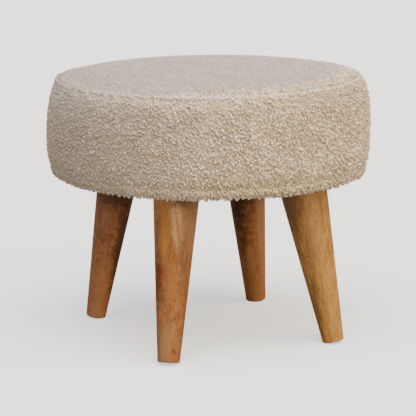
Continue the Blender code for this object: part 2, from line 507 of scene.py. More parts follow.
@dataclass
class Studio:
    """The camera, the lamps and the pale floor."""

    elevation: float = 0.20034
    distance: float = 2.76809
    roll: float = -0.01148
    lens: float = 183.47
    aim: tuple[float, float, float] = (-0.0018, 0.0008, -0.0102)
    sensor: float = 36.0
    farthest: float = 60.0               # what the camera sees up to
    floor_radius: float = 30.0
    floor_sides: int = 96
    floor_greys: tuple[float, float] = (0.92, 0.95)
    floor_glow: float = 0.9              # so that the camera sees it pale
    floor_shade: float = 0.36            # its grey as it lights the stool from below
    lamp_distance: float = 3.0
    lamps: tuple[Lamp, ...] = (
        Lamp("key", 46.0, 38.0, 85.0, 3.80, (1.0, 0.80, 0.485)),
        Lamp("overhead", -10.0, 72.0, 50.0, 3.3, (0.76, 0.84, 1.0)),
        Lamp("fill", -40.0, 14.0, 60.0, 0.20, (1.0, 0.82, 0.66)),
        Lamp("wall", -95.0, 12.0, 60.0, 0.30, (1.0, 0.70, 0.52)),
    )
    sky: Colour = colour(1.0, 0.93, 0.87)
    sky_strength: float = 0.11

    def build(self, middle: Vector) -> None:
        """Sets everything up round the stool.

        Args:
            middle: the middle of the stool's box.
        """
        self._camera(middle + Vector(self.aim))
        for lamp in self.lamps:
            self._light(middle, lamp)
        self._sky()
        self._floor()

    def _camera(self, target: Vector) -> None:
        """Makes the camera and makes it the scene's.

        Args:
            target: what it looks at.
        """
        back = away(FRONT_AZIMUTH, self.elevation)
        up = ACROSS.cross(-back)
        cos, sin = math.cos(self.roll), math.sin(self.roll)
        right, up = ACROSS * cos + up * sin, up * cos - ACROSS * sin
        data = bpy.data.cameras.new("camera")
        data.lens = self.lens
        data.sensor_width = self.sensor
        data.clip_end = self.farthest
        camera = bpy.data.objects.new("camera", data)
        turn = Matrix((right, up, back)).transposed().to_4x4()
        camera.matrix_world = Matrix.Translation(target + back * self.distance) @ turn
        bpy.context.scene.collection.objects.link(camera)
        bpy.context.scene.camera = camera

    def _light(self, middle: Vector, lamp: Lamp) -> None:
        """Hangs one lamp, turned towards the stool.

        Args:
            middle: the middle of the stool's box.
            lamp: the lamp.
        """
        data = bpy.data.lights.new(lamp.name, "SUN")
        data.angle = math.radians(lamp.breadth)
        data.energy = lamp.power
        data.color = lamp.colour
        way = away(FRONT_AZIMUTH + math.radians(lamp.azimuth), math.radians(lamp.elevation))
        item = bpy.data.objects.new(lamp.name, data)
        turn = way.to_track_quat("Z", "Y").to_matrix().to_4x4()
        item.matrix_world = Matrix.Translation(middle + way * self.lamp_distance) @ turn
        bpy.context.scene.collection.objects.link(item)

    def _sky(self) -> None:
        """Gives the world an even pale light."""
        world = bpy.data.worlds.new("sky")
        world.use_nodes = True
        world.node_tree.nodes["Background"].inputs["Color"].default_value = self.sky
        world.node_tree.nodes["Background"].inputs["Strength"].default_value = self.sky_strength
        bpy.context.scene.world = world

    def _floor(self) -> None:
        """Lays the floor, which is not part of the stool."""
        shape = bmesh.new()
        bmesh.ops.create_circle(
            shape, cap_ends=True, radius=self.floor_radius, segments=self.floor_sides,
        )
        floor = new_piece("floor", shape)
        make = Recipe("pale_floor")
        place = make.node("ShaderNodeTexCoord", {}, {}, "Object")
        grey = make.noise(place, 3.0, 2.0).ramp(0.0, 1.0)
        darker, lighter = [colour(level, level, level) for level in self.floor_greys]
        pale = make.node("ShaderNodeBsdfDiffuse", {}, {"Color": make.mix(grey, darker, lighter)})
        glow = {"Color": colour(1.0, 1.0, 1.0), "Strength": self.floor_glow}
        lit = make.node("ShaderNodeEmission", {}, glow)
        pale = make.node("ShaderNodeAddShader", {}, {0: pale, 1: lit})
        shade = colour(self.floor_shade, self.floor_shade, self.floor_shade)
        dim = make.node("ShaderNodeBsdfDiffuse", {}, {"Color": shade})
        seen = make.node("ShaderNodeLightPath", {}, {}, "Is Camera Ray")
        make.output(make.node("ShaderNodeMixShader", {}, {0: seen, 1: dim, 2: pale}))
        floor.data.materials.append(make.material)
        floor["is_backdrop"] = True


# ---------------------------------------------------------------------------------------------
# Pieces
# ---------------------------------------------------------------------------------------------


def new_piece(name: str, shape: bmesh.types.BMesh) -> bpy.types.Object:
    """Turns a bmesh into an object at the origin, smooth all over.

    Args:
        name: the object's name.
        shape: the bmesh, which is freed.

    Returns:
        The object.
    """
    mesh = bpy.data.meshes.new(name)
    for face in shape.faces:
        face.smooth = True
    shape.to_mesh(mesh)
    shape.free()
    item = bpy.data.objects.new(name, mesh)
    bpy.context.scene.collection.objects.link(item)
    return item


def solid_copy(node: bpy.types.Object) -> bmesh.types.BMesh:
    """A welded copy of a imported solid, its triangles joined back into quads where they can be.

    Args:
        node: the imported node.

    Returns:
        The copy.
    """
    shape = bmesh.new()
    shape.from_mesh(node.data)
    bmesh.ops.remove_doubles(shape, verts=shape.verts[:], dist=0.02 * MM)
    bmesh.ops.join_triangles(
        shape, faces=shape.faces[:], cmp_seam=False, cmp_sharp=False, cmp_uvs=False,
        cmp_vcols=False, cmp_materials=False, angle_face_threshold=math.radians(60.0),
        angle_shape_threshold=math.radians(60.0),
    )
    bmesh.ops.recalc_face_normals(shape, faces=shape.faces[:])
    return shape


def apply_modifiers(item: bpy.types.Object) -> None:
    """Makes what the modifiers give the item's own mesh.

    Args:
        item: the object, which is left with no modifiers.
    """
    graph = bpy.context.evaluated_depsgraph_get()
    mesh = bpy.data.meshes.new_from_object(item.evaluated_get(graph), depsgraph=graph)
    old = item.data
    item.modifiers.clear()
    item.data = mesh
    bpy.data.meshes.remove(old)
    mesh.name = item.name


def smooth_once(item: bpy.types.Object) -> None:
    """Subdivides an object once, and makes that its own mesh.

    Args:
        item: the object.
    """
    modifier = item.modifiers.new("smooth", "SUBSURF")
    modifier.levels = modifier.render_levels = 1
    apply_modifiers(item)


def points_of(mesh: bpy.types.Mesh) -> np.ndarray:
    """Reads a mesh's points.

    Args:
        mesh: the mesh.

    Returns:
        The points, one a row.
    """
    flat = np.zeros(len(mesh.vertices) * 3, np.float32)
    mesh.vertices.foreach_get("co", flat)
    return flat.reshape(-1, 3)


def mark(mesh: bpy.types.Mesh, name: str, values: np.ndarray) -> None:
    """Keeps one number for each point of a mesh, as an attribute."""
    kept = mesh.attributes.new(name, "FLOAT", "POINT")
    kept.data.foreach_set("value", values.astype(np.float32))


@dataclass(frozen=True)
class Seam:
    """The seam round the panel, which the pile hides but for short dashes at the front left."""

    radius: float = 194.3 * MM
    first: float = -60.0         # the dashes start here, degrees round from the front
    last: float = -14.0
    period: float = 5.5          # from one dash to the next
    shift: float = 1.3           # how far the dashes wander along the seam
    uneven: float = 0.50         # how much their lengths differ
    long: float = 0.15           # how much longer they are than the gaps
    above: float = 1.7 * MM      # how far the pile keeps from it in a dash, on the panel
    below: float = 4.2 * MM      # and on the band

    def shows(self, places: np.ndarray) -> np.ndarray:
        """Finds where the seam shows.

        Args:
            places: points, one a row.

        Returns:
            1 at the points that are round at a dash, else 0.
        """
        turn = azimuths(places)
        beat = np.sin(turn * 2.0 * np.pi / self.period + self.shift * np.sin(turn * 0.31))
        shown = beat > self.uneven * np.sin(turn * 0.83) - self.long
        return ((turn > self.first) & (turn < self.last) & shown).astype(float)


SEAM = Seam()

# How much painted shade lies down in the pile's gaps, on the way round from the front
OPENNESS: Table = ((-160.0, 0.9), (-80.0, 0.80), (15.0, 1.0), (90.0, 1.0))


@dataclass(frozen=True)
class Ground:
    """The cloth that the pile stands in, which lies deeper than the curls and is darker: partly
    its own colour, partly painted shade.
    """

    depth: float = 0.88              # how close to the painted shade at the curls' roots it is, 0 to 1
    # a low tone, which darkens it further: painted shade
    tone: float = 0.35
    seam_width: float = 1.8 * MM     # the groove of the seam
    seam_reach: float = 12.0 * MM    # it is marked only this near the top

    def mark_on(self, item: bpy.types.Object, cool_light: float) -> None:
        """Marks the pad or the band with what the cloth's material reads.

        Args:
            item: the pad or the band.
            cool_light: how grey the painted cool light makes the pile that stands on it, from 0 to
                1.
        """
        places = points_of(item.data)
        size = len(places)
        radius = np.hypot(places[:, 0], places[:, 1])
        near = np.exp(-((radius - SEAM.radius) / self.seam_width) ** 2)
        near *= places[:, 2] > places[:, 2].max() - self.seam_reach
        mark(item.data, "along", 1.0 - self.depth * openness(places))
        mark(item.data, "tone", np.full(size, self.tone))
        mark(item.data, "ground", np.ones(size))
        # painted cool light
        mark(item.data, "cool_light", np.full(size, cool_light))
        # painted shadow in the seam's groove, where its dashes show
        mark(item.data, "seam", near * SEAM.shows(places))


def unit(rows: np.ndarray) -> np.ndarray:
    """Returns: each row at a length of 1."""
    return rows / np.linalg.norm(rows, axis=1, keepdims=True)


def azimuths(places: np.ndarray) -> np.ndarray:
    """Returns: how far round from the front each point lies, in degrees from -180 to 180."""
    turn = np.degrees(np.arctan2(places[:, 0], -places[:, 1])) - math.degrees(FRONT_AZIMUTH)
    return (turn + 180.0) % 360.0 - 180.0


def all_round(places: np.ndarray, table: Table) -> np.ndarray:
    """Returns: each point's value from a table in degrees round from the front, with no step."""
    turns, values = zip(*table)
    return np.interp(azimuths(places), turns, values, period=360.0)


def hump(places: np.ndarray, middle: float, half: float, power: int = 2) -> np.ndarray:
    """Returns: 1 at points that far round from the front, in degrees, and less on both sides."""
    return np.exp(-((azimuths(places) - middle) / half) ** power)


def openness(places: np.ndarray) -> np.ndarray:
    """Returns: how much painted shade lies down in the pile's gaps, least at the left, where it
    lies closest.
    """
    return all_round(places, OPENNESS)


def drift(places: np.ndarray, seed: float) -> np.ndarray:
    """A slow wave over the cloth, for what changes from one hand's breadth to the next.

    Args:
        places: points, one a row.
        seed: makes one wave differ from another.

    Returns:
        Values within -1 and 1.
    """
    x, y, z = places.T
    first = np.sin(41.0 * x + 23.0 * y + 57.0 * z + 2.3 * seed)
    second = np.sin(67.0 * y - 35.0 * x + 31.0 * z + 5.1 * seed)
    third = np.sin(97.0 * z - 71.0 * x - 19.0 * y + 1.7 * seed)
    return (first + second + third) / 3.0


@dataclass
class SeatPad:
    """The filled seat under its round top panel, blown up tight against the cloth."""

    recess: float = 1.5 * MM      # the pile stands on it
    voxel: float = 6.0 * MM
    pressure: float = 4.0
    frames: int = 20
    most: float = 1.0 * MM        # how far the filling may push the cloth out
    held_rim: float = 14.0 * MM   # the seam holds the panel this far in from the edge
    held_foot: float = 0.06       # and everything within this of the bottom is held
    fill: float = 0.92
    cool_light: float = 0.6             # painted cool light: the ground is greyed as the pile on it is

    def build(self, node: bpy.types.Object) -> bpy.types.Object:
        """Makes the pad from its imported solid.

        Args:
            node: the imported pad.

        Returns:
            The pad.
        """
        shape = solid_copy(node)
        shape.normal_update()
        for vert in shape.verts:
            vert.co -= vert.normal * self.recess
        pad = new_piece("seat_pad_cloth", shape)
        self._remesh(pad)
        self._inflate(pad)
        smooth_once(pad)
        Ground().mark_on(pad, self.cool_light)
        return pad

    def dress(self, pad: bpy.types.Object, cloth: bpy.types.Material) -> None:
        """Finishes the pad and hides the imported pad.

        Args:
            pad: the pad.
            cloth: its material.
        """
        pad.data.materials.append(cloth)
        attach(pad, "root")
        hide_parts("seat_pad")

    def _remesh(self, pad: bpy.types.Object) -> None:
        """Gives the pad even faces.

        Args:
            pad: the pad.
        """
        modifier = pad.modifiers.new("even", "REMESH")
        modifier.mode = "VOXEL"
        modifier.voxel_size = self.voxel
        modifier.use_smooth_shade = True
        apply_modifiers(pad)

    def _inflate(self, pad: bpy.types.Object) -> None:
        """Fills the pad: pressure from inside, with the seam and the hidden sides held.

        Args:
            pad: the pad.
        """
        start = points_of(pad.data)
        radius = np.hypot(start[:, 0], start[:, 1])
        low = start[:, 2] < start[:, 2].min() + self.held_foot
        held = (radius > radius.max() - self.held_rim) | low
        group = pad.vertex_groups.new(name="held")
        group.add([int(i) for i in np.flatnonzero(held)], 1.0, "REPLACE")
        cloth = pad.modifiers.new("filling", "CLOTH")
        cloth.settings.vertex_group_mass = group.name
        cloth.settings.use_pressure = True
        cloth.settings.uniform_pressure_force = self.pressure
        cloth.settings.effector_weights.gravity = 0.0
        scene = bpy.context.scene
        for frame in range(1, self.frames + 1):
            scene.frame_set(frame)
        apply_modifiers(pad)
        scene.frame_set(1)
        move = points_of(pad.data) - start
        length = np.linalg.norm(move, axis=1, keepdims=True)
        share = np.minimum(1.0, self.most / np.maximum(length, 1e-9))
        pad.data.vertices.foreach_set("co", (start + move * share).ravel())
        pad.vertex_groups.clear()
        pad.data.update()
        LOG.info("the filling lifts the panel by %.2f mm at most", (length * share).max() / MM)


@dataclass(frozen=True)
class Trough:
    """A soft crease pressed into the band, in degrees round from the front and millimetres.

    Its height is above the band's foot, and its slant is in millimetres for each degree.
    """

    middle: float
    half_length: float
    height: float
    half_width: float
    depth: float
    slant: float = 0.0


@dataclass
class SideBand:
    """The strip of cloth round the side, sewn to the panel above and turned under the board."""

    recess: float = 2.1 * MM       # the pile stands on it
    lifted: float = 0.9 * MM       # how much less of that there is at the seam
    brow: float = 14.0 * MM        # how far down from the seam that reaches
    roll: float = 3.0 * MM         # the hem's underside is set back up to this height
    # no painted cool light on the band's own ground
    cool_light: float = 0.0
    flat: tuple[float, float] = (0.160, 1.31)
    troughs: tuple[Trough, ...] = (
        Trough(30.0, 42.0, 15.0, 2.6, 1.3),
        Trough(38.0, 14.0, 20.0, 2.2, 0.9, -0.05),
        Trough(-62.0, 46.0, 15.0, 3.5, -1.0),
        Trough(-82.0, 46.0, 3.0, 8.0, 1.3),
        Trough(85.0, 32.0, 3.0, 8.0, 0.2),
        Trough(-76.0, 10.0, 88.0, 4.0, 0.9, 0.12),
        Trough(-30.0, 14.0, 92.0, 6.0, 0.5, -0.10),
        Trough(-20.0, 16.0, 50.0, 7.0, 0.4, 0.10),
        Trough(130.0, 40.0, 15.0, 3.0, 1.0),
        Trough(165.0, 18.0, 70.0, 6.0, 0.6, 0.15),
    )

    def build(self, node: bpy.types.Object) -> bpy.types.Object:
        """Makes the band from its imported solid.

        Args:
            node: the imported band.

        Returns:
            The band.
        """
        shape = solid_copy(node)
        band = new_piece("side_band_cloth", shape)
        smooth_once(band)
        self._sink(band.data)
        Ground().mark_on(band, self.cool_light)
        return band

    def dress(
        self, band: bpy.types.Object, cloth: bpy.types.Material, pile: list[bpy.types.Object],
    ) -> None:
        """Finishes the band and hides the imported band.

        Args:
            band: the band.
            cloth: its material.
            pile: the pieces of pile that stand on it; not used.
        """
        band.data.materials.append(cloth)
        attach(band, "root")
        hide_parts("side_band")

    def _sink(self, mesh: bpy.types.Mesh) -> None:
        """Sets the outer face back for the pile, and presses the creases into it.

        Args:
            mesh: the band's mesh.
        """
        places = points_of(mesh)
        normals = np.zeros(len(places) * 3, np.float32)
        mesh.vertices.foreach_get("normal", normals)
        normals = normals.reshape(-1, 3)
        radius = np.hypot(places[:, 0], places[:, 1])
        foot = places[:, 2].min()
        outward = (normals[:, :2] * places[:, :2]).sum(1) / np.maximum(radius, 1e-6)
        outer = np.clip((outward + 0.15) / 0.4, 0.0, 1.0)
        below = np.clip(-normals[:, 2] * 1.6, 0.0, 1.0) * (places[:, 2] < foot + self.roll)
        outer = np.maximum(outer, below)
        azimuth = azimuths(places)
        brow = (places[:, 2].max() - places[:, 2]) / self.brow
        depth = self.recess - self.lifted * np.exp(-brow ** 2)
        for trough in self.troughs:
            along = (azimuth - trough.middle + 180.0) % 360.0 - 180.0
            level = foot + trough.height * MM + trough.slant * along * MM
            rise = (places[:, 2] - level) / (trough.half_width * MM)
            depth += trough.depth * MM * np.exp(-((along / trough.half_length) ** 4) - rise ** 2)
        moved = places - normals * (depth * outer)[:, None]
        mesh.vertices.foreach_set("co", moved.astype(np.float32).ravel())
        mesh.update()


@dataclass(frozen=True)
class Curl:
    """One kind of curl in the pile: a short tapered tube that bends over on itself.

    Its lengths are in millimetres.
    """

    loop: float        # the radius of its bend
    sweep: float       # how far round it goes, degrees
    sway: float        # how far its middle is pushed sideways
    thickness: float   # the tube's radius where it is thickest
    lift: float = 1.0  # how far it is stretched upwards

    sides: ClassVar[int] = 3
    rings: ClassVar[int] = 3
    start: ClassVar[float] = -38.0
    taper: ClassVar[tuple[float, ...]] = (0.90, 1.10, 0.95)

    def shape(self) -> np.ndarray:
        """Works out the curl's form, standing at the origin.

        Returns:
            The tube's points, ring by ring from the root, and its tip.
        """
        loop, sway, thickness = self.loop * MM, self.sway * MM, self.thickness * MM
        along = np.linspace(0.0, 1.0, self.rings + 1)
        turn = np.radians(self.start + self.sweep * along)
        path = np.stack([
            loop * (1.0 - np.cos(turn)),
            sway * np.sin(np.pi * along),
            loop * np.sin(turn) * self.lift,
        ], 1)
        heading = unit(np.gradient(path, axis=0))
        side = unit(np.array([0.0, 1.0, 0.0]) - heading * heading[:, 1:2])
        up = np.cross(heading, side)
        radius = thickness * np.array(self.taper)
        angle = np.arange(self.sides) * (2.0 * np.pi / self.sides) + np.pi / 2.0
        ring = side[:, None] * np.cos(angle)[:, None] + up[:, None] * np.sin(angle)[:, None]
        rings = path[:-1, None] + ring[:-1] * radius[:, None, None]
        return np.concatenate([rings.reshape(-1, 3), path[-1:]])

    @classmethod
    def corners(cls) -> tuple[np.ndarray, np.ndarray]:
        """Lists the faces that every curl has: its foot, its walls and its tip.

        Returns:
            The faces' points, face after face, and how many each face has.
        """
        faces = [tuple(reversed(range(cls.sides)))]
        tip = cls.rings * cls.sides
        for low in range(0, tip, cls.sides):
            for side in range(cls.sides):
                here, after = low + side, low + (side + 1) % cls.sides
                wall = (after + cls.sides, here + cls.sides) if low + cls.sides < tip else (tip,)
                faces.append((here, after, *wall))
        return np.concatenate(faces), np.array([len(face) for face in faces])

    @classmethod
    def along(cls) -> np.ndarray:
        """Returns: how far from the root each point lies, from 0 to 1."""
        steps = np.linspace(0.0, 1.0, cls.rings + 1)
        return np.append(np.repeat(steps[:-1], cls.sides), 1.0)


@dataclass(frozen=True)
class Habit:
    """How the curls of one stretch grow."""

    kinds: tuple[Curl, ...]
    scale: tuple[float, float]   # the smallest and the largest
    fall: float                  # how strongly they turn downhill, 0 to 1
    lean: float                  # how far they tip sideways, degrees
    sink: float                  # how deep the root lies
    lock: float                  # how far apart the locks are that they gather in
    gather: float                # how far the tips close up in a lock, 0 to 1
    mound: float = 0.0           # how much higher a lock stands in its middle
    droop: float = 0.0           # how far they hang instead of standing up, 0 to 1


HABITS: dict[Lay, Habit] = {
    Lay.PRESSED: Habit(
        (
            Curl(1.00, 200.0, 0.5, 1.35, 0.85),
            Curl(1.15, 220.0, -0.7, 1.20, 0.80),
            Curl(0.85, 170.0, 0.2, 1.45, 0.95),
            Curl(1.10, 165.0, -0.4, 1.15, 0.90),
        ),
        scale=(0.85, 1.15), fall=0.0, lean=24.0, sink=0.1 * MM, lock=8.0 * MM, gather=0.10,
    ),
    Lay.MARGIN: Habit(
        (
            Curl(1.15, 200.0, 0.6, 1.25, 0.95),
            Curl(1.35, 180.0, -0.8, 1.10, 0.90),
            Curl(0.95, 165.0, 0.2, 1.40, 1.00),
        ),
        scale=(0.85, 1.25), fall=0.2, lean=30.0, sink=0.1 * MM, lock=7.5 * MM, gather=0.25,
        mound=1.4 * MM,
    ),
    Lay.SEAM: Habit(
        (
            Curl(1.00, 200.0, 0.6, 1.25, 0.90),
            Curl(1.15, 180.0, -0.8, 1.15, 0.85),
        ),
        scale=(0.80, 1.15), fall=0.1, lean=30.0, sink=0.2 * MM, lock=8.0 * MM, gather=0.20,
        mound=1.3 * MM,
    ),
    Lay.FALLEN: Habit(
        (
            Curl(0.85, 190.0, 0.3, 1.45, 0.95),
            Curl(1.00, 170.0, -0.4, 1.35, 0.90),
            Curl(0.75, 160.0, 0.2, 1.55, 1.05),
            Curl(1.05, 165.0, 0.3, 1.30, 0.90),
            Curl(0.80, 200.0, -0.3, 1.45, 1.05),
        ),
        scale=(0.80, 1.20), fall=0.12, lean=28.0, sink=0.1 * MM, lock=6.5 * MM, gather=0.22,
        mound=1.7 * MM,
    ),
    Lay.FRINGE: Habit(
        (
            Curl(1.2, 150.0, 0.6, 1.00, 1.90),
            Curl(1.4, 125.0, -0.8, 0.90, 2.00),
            Curl(1.0, 170.0, 0.3, 1.10, 1.90),
        ),
        scale=(0.55, 1.40), fall=0.2, lean=26.0, sink=0.1 * MM, lock=6.5 * MM, gather=0.60,
        droop=0.55,
    ),
    Lay.TUCKED: Habit(
        (
            Curl(1.1, 210.0, 0.6, 1.20, 0.80),
            Curl(1.3, 190.0, -0.7, 1.10, 0.75),
        ),
        scale=(0.85, 1.15), fall=0.0, lean=20.0, sink=0.2 * MM, lock=7.0 * MM, gather=0.20,
    ),
}


@dataclass
class Stand:
    """Where curls stand: their roots, and the cloth's direction there."""

    roots: np.ndarray
    normals: np.ndarray

    @staticmethod
    def joined(stands: Sequence["Stand"]) -> "Stand":
        """Returns: several stands as one."""
        return Stand(
            np.concatenate([s.roots for s in stands]), np.concatenate([s.normals for s in stands]),
        )

    @staticmethod
    def met(hits: Sequence[Hit]) -> "Stand":
        """Returns: a stand where rays met the cloth."""
        found = [hit for hit in hits if hit[0] is not None]
        return Stand(np.array([hit[0] for hit in found]), np.array([hit[1] for hit in found]))

    def part(self, chosen: np.ndarray) -> "Stand":
        """Returns: the chosen ones."""
        return Stand(self.roots[chosen], self.normals[chosen])

    def out(self) -> np.ndarray:
        """Returns: how far each root is from the stool's axis."""
        return np.hypot(self.roots[:, 0], self.roots[:, 1])

    def downhill(self) -> tuple[np.ndarray, np.ndarray]:
        """Finds the way down the cloth at each root.

        Returns:
            Its direction, or any along the cloth where that is level, and how steep it is.
        """
        down = np.array([0.0, 0.0, -1.0]) - self.normals * -self.normals[:, 2:3]
        steep = np.linalg.norm(down, axis=1, keepdims=True)
        spare = np.cross(self.normals, np.array([[0.31, 0.95, 0.0]]))
        down = np.where(steep > 0.05, down / np.maximum(steep, 1e-6), spare)
        return unit(down), steep[:, 0]


@dataclass(frozen=True)
class Lightness:
    """Painted light and shade on the pile: how much lighter or darker it is from place to place,
    added to its tone.
    """

    dim: Table = (                     # painted shade: how much darker the band is on the way round it, painted light below 0
        (-170.0, 0.0), (-120.0, 0.50), (-78.0, 0.50), (-58.0, 0.60), (-35.0, 0.43),
        (-4.0, -0.14), (25.0, -0.12), (50.0, 0.0), (75.0, 0.16), (110.0, 0.0),
    )
    dim_brow: Table = (                # and painted shade on its top edge
        (-68.0, 0.65), (-48.0, 0.0), (12.0, 0.0), (32.0, 0.42), (80.0, 0.42), (180.0, 0.60),
    )
    lit_by_height: Table = (                 # painted light and shade: how much lighter it is, by its height in millimetres
        (0.0, -0.62), (7.0, -0.42), (17.0, 0.0), (35.0, 0.08), (60.0, 0.05), (85.0, -0.14),
        (104.0, -0.12), (114.0, 0.15), (121.0, 0.50),
    )
    brow_from: float = 100.0           # where the top edge starts, in millimetres
    brow_over: float = 12.0            # and how much further up it is full
    rim: float = 0.35                  # painted highlight: how much lighter the top edge is at the front left
    rim_middle: float = -34.0          # degrees
    rim_half: float = 30.0
    calm_light: float = 0.42              # painted light: how much lighter the pile is where it lies close
    across: float = 0.14               # painted light: how much lighter the panel is at the right

    def change(
        self, roots: np.ndarray, foot: float, widest: float, on_side: np.ndarray,
        calm: np.ndarray,
    ) -> np.ndarray:
        """Works out each curl's painted light and shade.

        Args:
            roots: where the curls stand.
            foot: the height of the band's foot.
            widest: the band's largest radius.
            on_side: which of them are on the side.
            calm: how close the pile lies there.

        Returns:
            What is added to each curl's tone.
        """
        heights, lights = zip(*self.lit_by_height)
        height = (roots[:, 2] - foot) / MM
        high = np.clip((height - self.brow_from) / self.brow_over, 0.0, 1.0) * on_side
        at_rim = hump(roots, self.rim_middle, self.rim_half, 4)
        added = np.interp(height, heights, lights) * on_side
        added -= all_round(roots, self.dim_brow) * high ** 3
        added += self.rim * high * at_rim
        added -= all_round(roots, self.dim) * on_side
        added += self.calm_light * calm * on_side
        added += self.across * ((roots @ np.array(ACROSS)) / widest) * ~on_side
        return added


@dataclass
class CurlyPile:
    """The short curly pile that stands on the cloth of the panel and the band."""

    # Where the curls stand
    top_pitch: float = 3.00 * MM
    top_shaken: float = 0.42           # how far a root leaves its row, in pitches
    side_pitch: float = 2.50 * MM
    side_shaken: tuple[float, float] = (0.75, 0.9)   # along it in pitches, across it in rows
    seam_pitch: float = 2.1 * MM
    seam_shaken: float = 0.4
    seam_rows: tuple[tuple[float, float, float], ...] = (     # out and up in mm, slope in degrees
        (-1.1, 0.2, 75.0), (0.0, -0.2, 55.0), (1.1, -0.9, 35.0),
    )
    row_share: float = math.sqrt(0.75)               # between rows, for each pitch
    first_row: float = 0.3                           # how far down the first one is, in rows
    spine_radius: float = 0.150        # a ring inside the seat, which the rays look towards
    spine_view: float = 0.2            # how far from it they start
    slopes: tuple[float, float] = (80.0, -89.0)      # the band is seen between these, degrees
    steps: int = 700
    line_at: float = 0.3               # where its outline is followed, in radians
    hem_reach: float = 30.0 * MM       # how far in under the seat it goes

    # How they lie
    tucked_slope: float = 0.8          # how far it must face down to be tucked under
    tucked_in: float = 14.0 * MM       # and how far in it must be
    fringe_slope: float = 0.35
    fringe_height: float = 9.0 * MM
    margin: float = 27.0 * MM          # the pile stands open this far in from the seam
    margin_from: tuple[float, float] = (-30.0, 120.0)          # and only here, degrees
    margin_fade: float = 35.0          # it narrows to nothing over this, degrees
    margin_ragged: float = 5.0 * MM
    margin_soft: float = 8.0 * MM
    calm_from: float = 68.0 * MM       # it lies close above this height
    calm_over: float = 36.0 * MM       # and closest this much further up
    calm_middle: float = -60.0         # degrees
    calm_half: float = 30.0
    calm_even: float = 0.55            # how much evener its locks are there
    calm_deep: float = 0.40            # and how much less painted shade lies in its gaps
    # How uneven the locks are, how large the curls are and how many millimetres the seam's rows
    # are sunk, on the way round
    uneven: Table = ((-165.0, 1.1), (-75.0, 0.85), (20.0, 1.45), (115.0, 1.1))
    growth: Table = ((-165.0, 1.10), (-75.0, 0.92), (25.0, 1.14), (115.0, 1.10))
    sunk: Table = ((-160.0, 0.0), (-120.0, 0.9), (-62.0, 0.9), (-48.0, 0.0))
    side_from: float = 0.2             # how steep the cloth is where the side starts
    comb: float = 0.30                 # how much the curls of the side favour one line
    comb_turn: float = 10.0            # and how that line is turned, degrees
    steep_fall: float = 1.5            # how soon they fall fully as the cloth steepens
    root_back: float = 1.1 * MM        # a root is this far behind its curl's middle
    lock_core: float = 0.62            # a lock has no second leader within this, in locks
    lock_reach: float = 1.2            # and takes in curls up to this
    lock_plump: float = 0.5            # how much larger the curls are in its middle
    lock_even: float = 0.6             # where they are of their own size
    swell: tuple[float, float] = (0.25, 1.75)        # how much a lock swells, least and most
    swell_middle: float = 0.45         # its middle is raised by this share, its rim is lowered

    # Their colour, with painted light and shade
    # Painted cool light, just below the seam on the way round and over the upper left of the band
    seam_cool_light: Table = ((-150.0, 0.0), (-110.0, 1.0), (-50.0, 1.0), (-10.0, 0.6), (20.0, 0.0))
    seam_cool_light_over: float = 11.0 * MM     # how far down from the seam the painted cool light reaches
    cool_light_middle: float = -46.0         # degrees
    cool_light_half: float = 34.0
    cool_light_shares: tuple[float, float] = (0.42, 0.58)  # all the way down, and more near the top
    cool_light_over: float = 38.0 * MM
    panel_drop: float = 0.02           # the panel is within this of the seam's height
    lightness: Lightness = Lightness()
    valley: float = 0.34               # painted shade: how much darker it is between two locks, lighter in their middles
    tone_middle: float = 0.5
    tone_spread: float = 0.24
    tone_shares: tuple[float, float] = (0.50, 0.75)  # a curl's own, and its lock's
    tone_drift: float = 0.12
    most_in_piece: int = 12000
    seed: int = 7

    def build(
        self, panel: bpy.types.Object, band: bpy.types.Object,
    ) -> tuple[list[bpy.types.Object], list[bpy.types.Object]]:
        """Grows the pile.

        Args:
            panel: the pad, whose top it covers.
            band: the band, which it covers from the seam to the hem.

        Returns:
            The pieces on the panel, and those on the band.
        """
        self._random = np.random.default_rng(self.seed)
        graph = bpy.context.evaluated_depsgraph_get()
        self._panel = BVHTree.FromObject(panel, graph)
        self._band = BVHTree.FromObject(band, graph)
        places = points_of(band.data)
        radius = np.hypot(places[:, 0], places[:, 1])
        self._widest = float(radius.max())
        self._foot, self._brow = float(places[:, 2].min()), float(places[:, 2].max())
        panel_stand = self._on_panel()
        margin = self._margin(panel_stand.roots) > 0.5
        top = self._grown({
            Lay.PRESSED: panel_stand.part(~margin), Lay.MARGIN: panel_stand.part(margin),
            Lay.SEAM: self._on_seam(),
        }, "pile_top")
        side = self._grown(self._by_lay(self._on_band()), "pile_side")
        return top, side

    @staticmethod
    def dress(pieces: Sequence[bpy.types.Object], cloth: bpy.types.Material) -> None:
        """Finishes the pile.

        Args:
            pieces: its pieces.
            cloth: their material.
        """
        for piece in pieces:
            piece.data.materials.append(cloth)
            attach(piece, "root")

    def _on_panel(self) -> Stand:
        """Sets roots on the panel, in staggered rows that are shaken.

        Returns:
            Where the curls stand.
        """
        row = self.top_pitch * self.row_share
        count = int(SEAM.radius / row) + 2
        x, y = np.meshgrid(np.arange(-count, count + 1), np.arange(-count, count + 1))
        spots = np.stack([(x + 0.5 * (y % 2)) * self.top_pitch, y * row], -1).reshape(-1, 2)
        shaken = self._random.uniform(-self.top_shaken, self.top_shaken, spots.shape)
        spots = spots + shaken * self.top_pitch
        radius = np.hypot(spots[:, 0], spots[:, 1])
        spots = spots[radius < SEAM.radius - SEAM.above * SEAM.shows(spots)]
        down = Vector((0.0, 0.0, -1.0))
        start = self._brow + 0.05
        return Stand.met([self._panel.ray_cast(Vector((a, b, start)), down) for a, b in spots])

